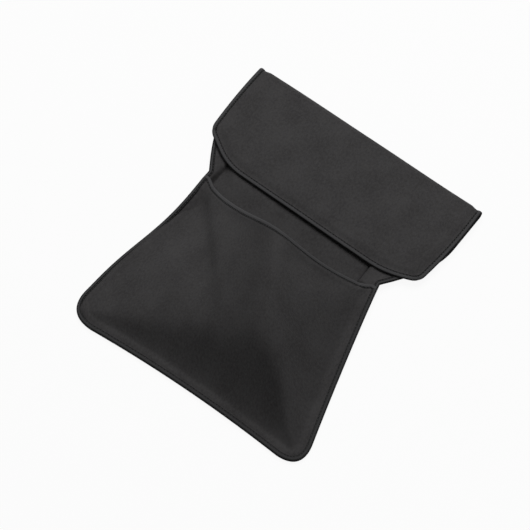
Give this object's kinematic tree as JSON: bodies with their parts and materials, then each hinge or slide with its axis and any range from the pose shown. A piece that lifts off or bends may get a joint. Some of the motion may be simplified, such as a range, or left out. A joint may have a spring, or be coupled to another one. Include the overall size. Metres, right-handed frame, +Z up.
{
  "type": "lens pouch",
  "caption": "Soft cloth pouch lying on its back: a raised pocket with a taped mouth, a bare neck behind it and a round-cornered flap folded over the neck.",
  "frame": {"origin": "on the table under the middle of the pouch's box", "axes": "+Y from the pocket's bottom edge to the fold, +X along the fold, +Z up from the table the pouch lies on"},
  "size_m": [0.2328, 0.2668, 0.0733],
  "materials": {
    "cloth": "matte brushed charcoal knit over thin foam",
    "edge_tape": "matte black woven edge tape with a sewn groove"
  },
  "bodies": {
    "pocket": {"front_panel": "cloth", "back_panel": "cloth", "pocket_tape": "edge_tape", "mouth_tape": "edge_tape"},
    "neck": {"neck_panel": "cloth", "neck_tape_left": "edge_tape", "neck_tape_right": "edge_tape", "bend_panel": "cloth", "bend_tape_left": "edge_tape", "bend_tape_right": "edge_tape", "fold_panel": "cloth", "fold_tape_left": "edge_tape", "fold_tape_right": "edge_tape"},
    "flap": {"flap_panel": "cloth", "flap_tape": "edge_tape"}
  },
  "joints": [
    {"name": "neck_bend", "type": "hinge", "parent": "pocket", "child": "neck", "pos_m": [-0.0063, 0.03013, 0.002], "axis": [1, 0, 0], "range_deg": [0, 90], "deforming": ["bend_panel", "bend_tape_left", "bend_tape_right"]},
    {"name": "flap_fold", "type": "hinge", "parent": "neck", "child": "flap", "pos_m": [-0.0063, 0.13343, 0.0043], "axis": [-1, 0, 0], "range_deg": [0, 180], "deforming": ["fold_panel", "fold_tape_left", "fold_tape_right"]}
  ]
}
